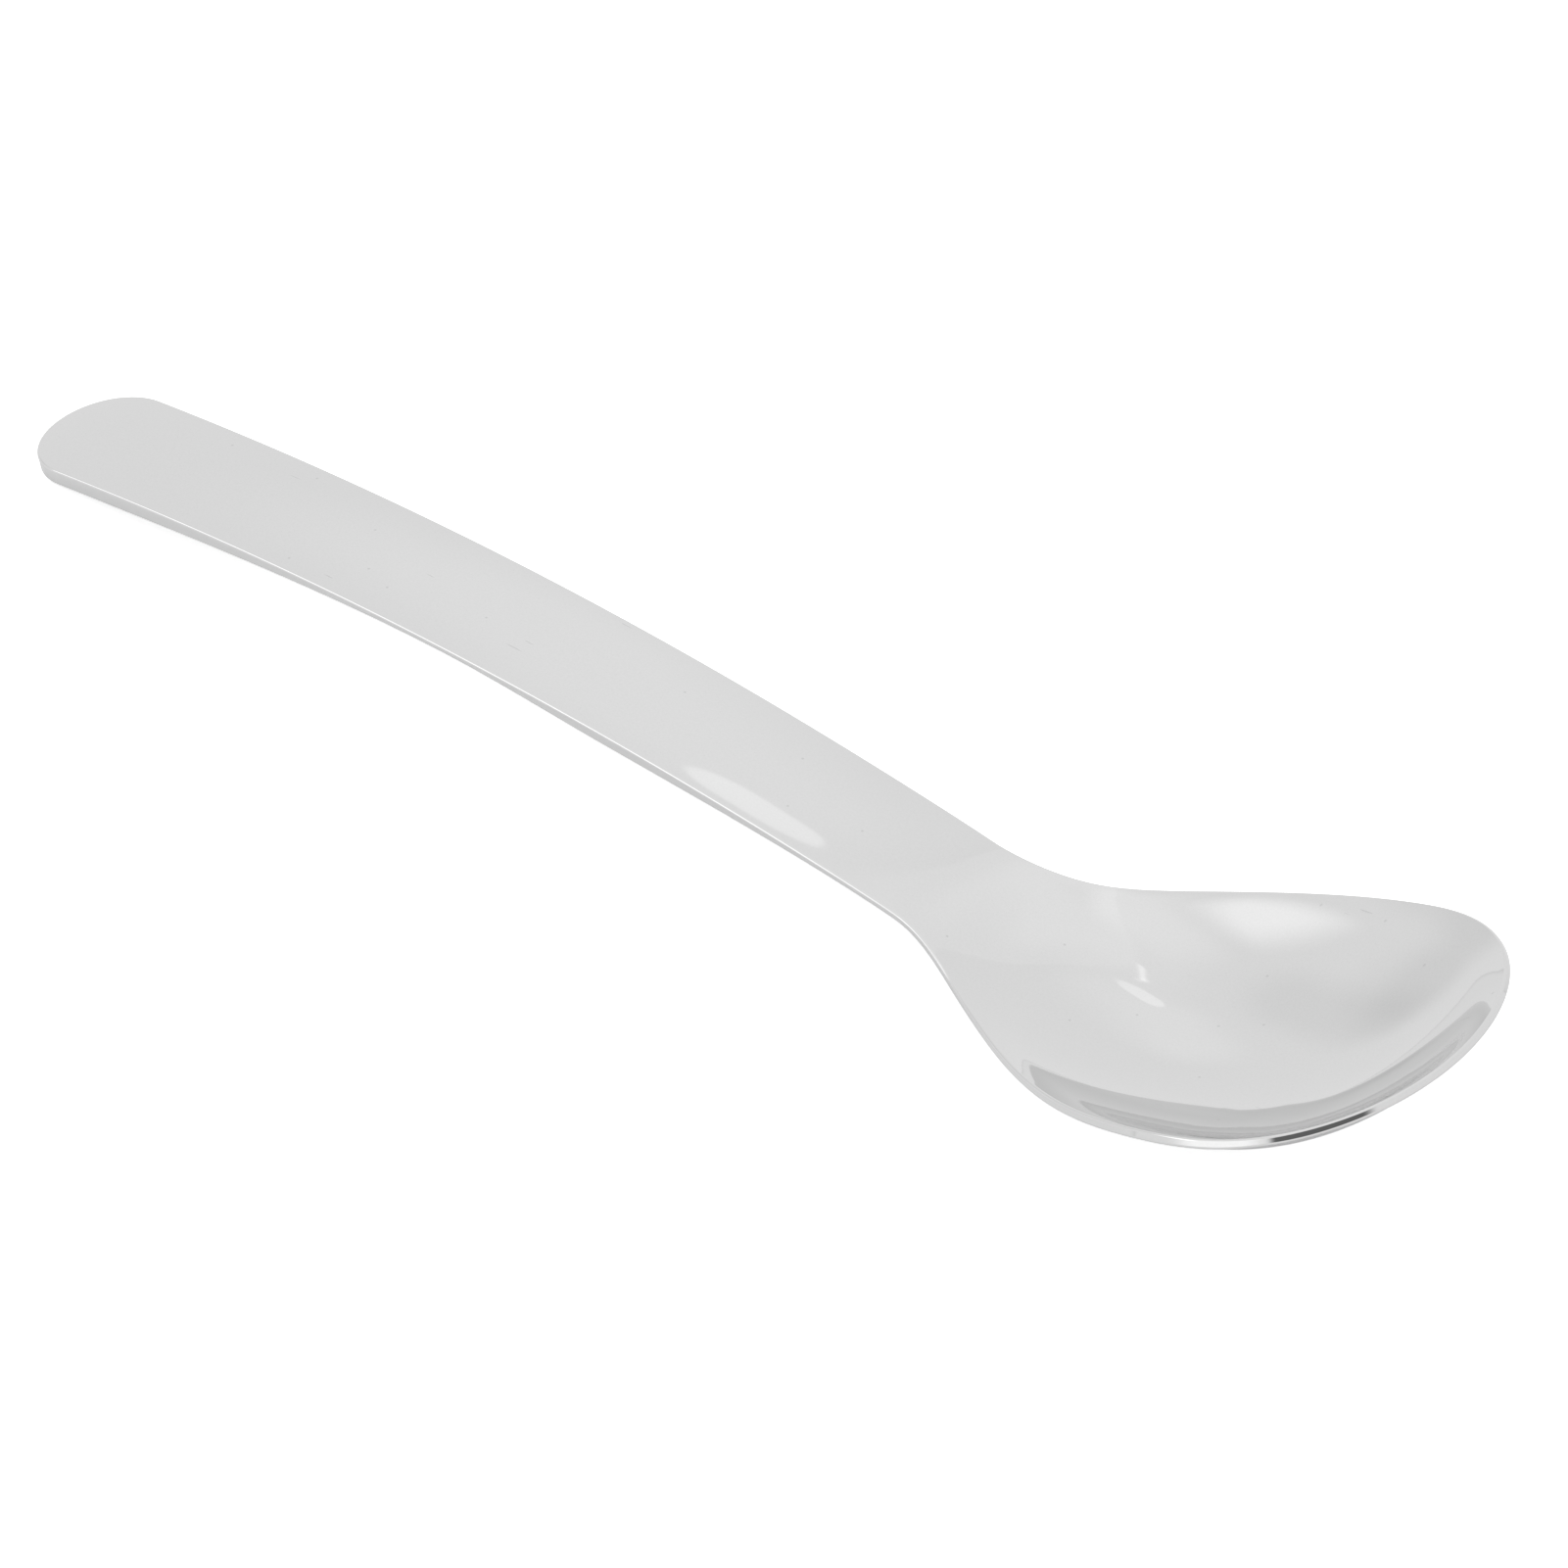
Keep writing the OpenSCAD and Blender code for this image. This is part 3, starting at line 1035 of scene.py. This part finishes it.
@dataclass(frozen=True)
class Studio:
    """A pale floor in a white studio, with soft lamps.

    Attributes:
        floor_size: Width and length of the floor, in metres.
        floor_tone: Grey of the floor.
        camera_lift: Light that lifts the floor to white where the camera sees it.
        mirrored_lift: Light that lifts it a little where the steel mirrors it.
        world_level: Light of the walls on all that doesn't mirror them.
        reflections: How often a ray may be mirrored, as the near wall of the bowl mirrors itself.
        patches: Patches of the walls that the steel mirrors.
        softboxes: The lamps.
    """

    floor_size: float = 8.0
    floor_tone: float = 0.88
    camera_lift: float = 0.68
    mirrored_lift: float = 0.1
    world_level: float = 0.75
    reflections: int = 16
    patches: tuple[Patch, ...] = (
        # The softbox that the far wall of the bowl mirrors
        Patch((-163.0, 59.0), (-154.0, 43.0), 1.0, 11.0, 0.24),
        # The wide softbox and the bright strip that the near rim mirrors
        Patch((-98.0, 34.0), (-98.0, 34.0), 20.0, 38.0, 0.36),
        Patch((-148.0, 31.0), (-122.0, 26.0), 3.0, 9.0, 0.9),
        # The dark stand beside the camera, a black streak on the near rim
        Patch((-34.0, 34.0), (-12.0, 46.0), 13.0, 19.0, -0.84),
        # The small lamp that the handle and the heel mirror, and the light round it
        Patch((131.3, 50.1), (132.4, 49.2), 1.45, 1.6, 0.15),
        Patch((132.0, 44.0), (133.0, 36.0), 2.0, 12.0, 0.06),
        # The bright cone above the lamp's image in the heel, and its foot
        Patch((134.8, 53.9), (137.9, 56.9), 0.12, 0.34, 0.24),
        Patch((133.5, 53.3), (135.8, 54.2), 0.1, 0.3, 0.14),
        # The lighter ceiling, whose first panel has an edge
        Patch((94.0, 66.5), (94.0, 66.5), 21.4, 22.4, 0.035),
        Patch((102.0, 61.0), (134.0, 62.0), 3.0, 13.0, 0.05),
        Patch((160.0, 70.0), (160.0, 70.0), 4.0, 14.0, 0.1),
        # The darker wall beyond the handle's end
        Patch((166.0, 26.0), (166.0, 43.0), 3.0, 14.0, -0.07),
        Patch((177.0, 22.0), (177.0, 22.0), 5.0, 19.0, -0.1),
    )
    softboxes: tuple[Softbox, ...] = (
        Softbox("key_softbox", -140.0, 54.0, 1.6, 0.9, 5.0),
        Softbox("fill_softbox", 60.0, 60.0, 1.6, 0.9, 2.5),
    )

    def build(self) -> bpy.types.Object:
        """Set up the floor, the walls and the lamps, and allow enough reflections.

        Returns:
            The floor.
        """
        bpy.context.scene.cycles.max_bounces = self.reflections
        bpy.context.scene.cycles.glossy_bounces = self.reflections
        floor = self.build_floor()
        self.build_walls()
        for softbox in self.softboxes:
            softbox.build()
        return floor

    def build_floor(self) -> bpy.types.Object:
        """Build the plain pale floor, which keeps the spoon's shadow.

        Returns:
            The floor.
        """
        deselect_all()
        bpy.ops.mesh.primitive_plane_add(size=self.floor_size)
        floor = bpy.context.object
        floor.name = "studio_floor"
        floor.data.materials.append(self.floor_paint())
        return floor

    def floor_paint(self) -> bpy.types.Material:
        """Make the floor's paint, lifted to white for the camera.

        Returns:
            The material.
        """
        material = bpy.data.materials.new("pale_floor")
        material.use_nodes = True
        bench = NodeBench(material.node_tree)
        camera, mirrored = self.rays(bench)
        from_camera = bench.math("MULTIPLY", camera, self.camera_lift)
        from_mirror = bench.math("MULTIPLY", mirrored, self.mirrored_lift)
        paint = bench.add("ShaderNodeBsdfDiffuse", {"Color": grey(self.floor_tone)}).outputs[0]
        lift = bench.math("ADD", from_camera, from_mirror)
        light = bench.add("ShaderNodeEmission", {"Strength": lift}).outputs[0]
        both = bench.add("ShaderNodeAddShader", {0: paint, 1: light})
        bench.add("ShaderNodeOutputMaterial", {"Surface": both.outputs[0]})
        return material

    def build_walls(self) -> None:
        """Make the world a white studio with softly lighter and darker patches in its walls."""
        world = bpy.data.worlds.new("white_studio")
        world.use_nodes = True
        bpy.context.scene.world = world
        bench = NodeBench(world.node_tree)
        direction = bench.add("ShaderNodeTexCoord").outputs["Generated"]
        level = 1.0
        for patch in self.patches:
            level = bench.math("ADD", level, patch.light(bench, direction))
        camera, mirrored = self.rays(bench)
        others = bench.math("SUBTRACT", 1.0, bench.math("ADD", mirrored, camera))
        seen = bench.math("ADD", bench.math("MULTIPLY", mirrored, level), camera)
        strength = bench.math("ADD", seen, bench.math("MULTIPLY", others, self.world_level))
        background = bench.add("ShaderNodeBackground", {"Color": grey(1.0), "Strength": strength})
        bench.add("ShaderNodeOutputWorld", {"Surface": background.outputs[0]})

    def rays(self, bench: NodeBench) -> tuple[Socket, Socket]:
        """Tell the camera's own rays from those that were mirrored or went through glass.

        Args:
            bench: The nodes to add to.

        Returns:
            Two sockets: 1 for a camera ray, and 1 for a mirrored ray or one through glass.
        """
        kinds = bench.add("ShaderNodeLightPath").outputs
        mirrored = bench.math("ADD", kinds[Ray.GLOSSY.value], kinds[Ray.TRANSMISSION.value])
        return kinds[Ray.CAMERA.value], mirrored


@dataclass(frozen=True)
class Viewpoint:
    """The camera's place and turn, as the photograph was taken.

    Attributes:
        place: The camera's place, in metres.
        turn_deg: Its turn about X, Y and Z.
        focal_length_px: Its focal length, in pixels of the photograph.
        film_width_mm: Width of its film.
        nearest: Distance from which it sees, in metres.
    """

    place: tuple[float, float, float] = (0.655991, -0.729287, 0.808429)
    turn_deg: tuple[float, float, float] = (50.5724, 0.4277, 41.2782)
    focal_length_px: float = 12881.5
    film_width_mm: float = 36.0
    nearest: float = 10.0 * MM

    def build(self) -> bpy.types.Object:
        """Build the scene's camera, without depth of field.

        Returns:
            The camera.
        """
        lens = bpy.data.cameras.new("photo_camera")
        lens.sensor_width = self.film_width_mm
        lens.lens = self.focal_length_px / PHOTO_WIDTH_PX * self.film_width_mm
        lens.clip_start = self.nearest
        camera = bpy.data.objects.new("photo_camera", lens)
        bpy.context.scene.collection.objects.link(camera)
        camera.location = self.place
        camera.rotation_euler = [math.radians(angle) for angle in self.turn_deg]
        bpy.context.scene.camera = camera
        return camera


def report(piece: bpy.types.Object) -> None:
    """Log a piece's name and its count of faces."""
    log.info("%s: %d faces", piece.name, len(piece.data.polygons))


def main() -> None:
    """Build the spoon, the studio and the camera, and report each piece."""
    logging.basicConfig(level=logging.INFO, format="%(message)s")
    bpy.context.scene.view_settings.view_transform = "Standard"
    maker = SoupSpoon()
    spoon = maker.build()
    maker.dress(spoon, PolishedSteel())
    report(spoon)
    report(Studio().build())
    Viewpoint().build()


if __name__ == "__main__":
    main()
